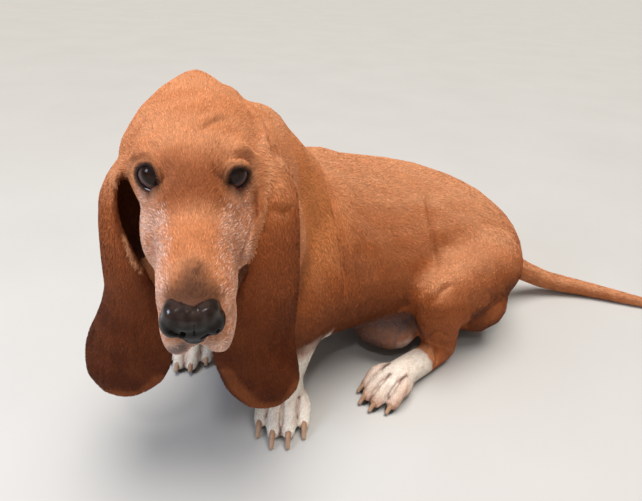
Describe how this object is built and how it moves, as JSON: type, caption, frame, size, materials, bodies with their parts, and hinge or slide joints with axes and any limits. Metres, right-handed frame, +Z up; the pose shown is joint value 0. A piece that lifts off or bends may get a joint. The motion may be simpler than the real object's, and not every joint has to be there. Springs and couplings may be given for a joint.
{
  "type": "basset hound",
  "caption": "Life-size still model of an adult basset hound sitting on one hip, forelegs upright, head turned aside, long ears hanging, tail laid out on the floor.",
  "frame": {"origin": "on the floor at the bottom centre of the bounding box, under the middle of the sitting dog", "axes": "+Z up; +X along the floor from the dog's head end towards its tail, the longest extent; the face looks towards -Y, so the dog's left side is seen from -Y"},
  "size_m": [0.9551, 0.6822, 0.4528],
  "materials": {
    "coat": "short, close red-tan fur, white on the feet",
    "ear": "short, soft, dark mahogany fur",
    "nose": "moist, pebbled nose leather",
    "eye": "wet, glossy dark brown eye",
    "claw": "smooth horn"
  },
  "bodies": {
    "root": {"head": "coat", "neck": "coat", "torso": "coat", "tail": "coat", "shoulder_left": "coat", "forearm_left": "coat", "forepaw_left": "coat", "thigh_left": "coat", "shank_left": "coat", "hindpaw_left": "coat", "shoulder_right": "coat", "forearm_right": "coat", "forepaw_right": "coat", "thigh_right": "coat", "shank_right": "coat", "hindpaw_right": "coat", "ear_left": "ear", "ear_right": "ear", "eye_left": "eye", "eye_right": "eye", "nose": "nose", "forepaw_left_claw_1": "claw", "forepaw_left_claw_2": "claw", "forepaw_left_claw_3": "claw", "forepaw_left_claw_4": "claw", "forepaw_right_claw_1": "claw", "forepaw_right_claw_2": "claw", "forepaw_right_claw_3": "claw", "forepaw_right_claw_4": "claw", "hindpaw_left_claw_1": "claw", "hindpaw_left_claw_2": "claw", "hindpaw_left_claw_3": "claw", "hindpaw_left_claw_4": "claw", "hindpaw_right_claw_1": "claw", "hindpaw_right_claw_2": "claw", "hindpaw_right_claw_3": "claw", "hindpaw_right_claw_4": "claw"}
  },
  "joints": []
}
